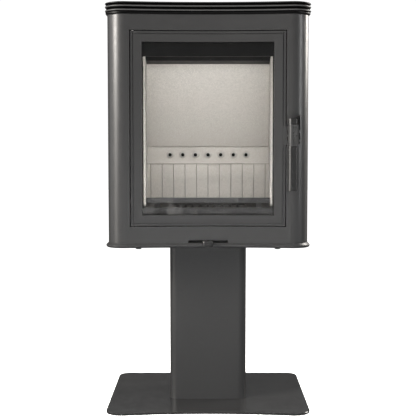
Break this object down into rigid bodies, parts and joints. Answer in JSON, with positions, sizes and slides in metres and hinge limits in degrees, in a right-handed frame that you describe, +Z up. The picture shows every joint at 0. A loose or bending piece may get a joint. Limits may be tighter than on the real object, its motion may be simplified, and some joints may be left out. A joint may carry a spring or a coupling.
{
  "type": "wood burning stove",
  "caption": "Free-standing log stove on a square pedestal: hollow-curved front with a large glass door, bolted body panels, lined firebox, top flue collar and a sliding air control.",
  "frame": {"origin": "on the floor, at the centre of the underside of the base plate", "axes": "+X to the right seen from the front, -Y out of the door, +Z up"},
  "size_m": [0.516, 0.442, 1.04],
  "materials": {
    "stove_paint": "semi-matt dark grey stove paint",
    "base_paint": "satin dark grey paint",
    "inner_steel": "matt black heat-proof paint",
    "cast_black": "black cast iron",
    "bright_steel": "zinc plated steel",
    "handle_paint": "satin black paint",
    "vermiculite": "pressed vermiculite board, matt",
    "door_glass": "clear heat-proof ceramic glass",
    "rope": "graphited glass-fibre rope"
  },
  "bodies": {
    "root": {"air_slider_guides": "inner_steel", "airwash_deflector": "inner_steel", "ash_pan": "inner_steel", "ash_pan_rails": "inner_steel", "baffle_board": "vermiculite", "base_plate": "base_paint", "board_retainers": "inner_steel", "bottom_casting": "stove_paint", "casting_bolts": "bright_steel", "crown": "stove_paint", "firebox_floor": "inner_steel", "firebox_left_wall": "inner_steel", "firebox_rear_wall": "inner_steel", "firebox_right_wall": "inner_steel", "firebox_roof": "inner_steel", "flue_collar": "stove_paint", "flue_collar_screws": "bright_steel", "front_casting": "stove_paint", "grate": "cast_black", "hearth_front_board": "vermiculite", "hearth_left_board": "vermiculite", "hearth_rear_board": "vermiculite", "hearth_right_board": "vermiculite", "hearth_sill": "cast_black", "heat_shield_screws": "bright_steel", "hinge_pins": "bright_steel", "latch_keeper": "cast_black", "left_side_board": "vermiculite", "left_side_panel": "stove_paint", "log_guard": "inner_steel", "outside_air_spigot": "inner_steel", "pedestal_bolts": "bright_steel", "pedestal_column": "stove_paint", "pedestal_cover_screws": "bright_steel", "pedestal_rear_cover": "stove_paint", "pedestal_top_plate": "stove_paint", "rear_air_board": "vermiculite", "rear_heat_shield": "stove_paint", "rear_panel": "stove_paint", "rear_ribbed_board": "vermiculite", "rear_upper_board": "vermiculite", "right_side_board": "vermiculite", "right_side_panel": "stove_paint", "secondary_air_duct": "inner_steel", "top_plate": "stove_paint"},
    "door": {"door_frame": "stove_paint", "door_glass": "door_glass", "glass_seal": "rope", "glass_clips": "inner_steel", "glass_clip_screws": "bright_steel", "door_rope_seal": "rope", "handle_clevis": "handle_paint", "handle_pivot_pin": "bright_steel"},
    "handle": {"handle_bar": "handle_paint", "handle_block": "handle_paint", "latch_hook": "handle_paint", "latch_hook_screws": "bright_steel"},
    "air_slider": {"air_slider_plate": "inner_steel", "air_lever": "handle_paint", "air_lever_knob": "handle_paint"}
  },
  "joints": [
    {"name": "door_hinge", "type": "hinge", "parent": "root", "child": "door", "pos_m": [-0.186, -0.17667, 0.7136], "axis": [0, 0, -1], "range_deg": [0, 110]},
    {"name": "handle_pivot", "type": "hinge", "parent": "door", "child": "handle", "pos_m": [0.203, -0.1947, 0.697], "axis": [-1, 0, 0], "range_deg": [0, 22]},
    {"name": "air_slide", "type": "slide", "parent": "root", "child": "air_slider", "axis": [1, 0, 0], "range_m": [-0.036, 0.036]}
  ]
}
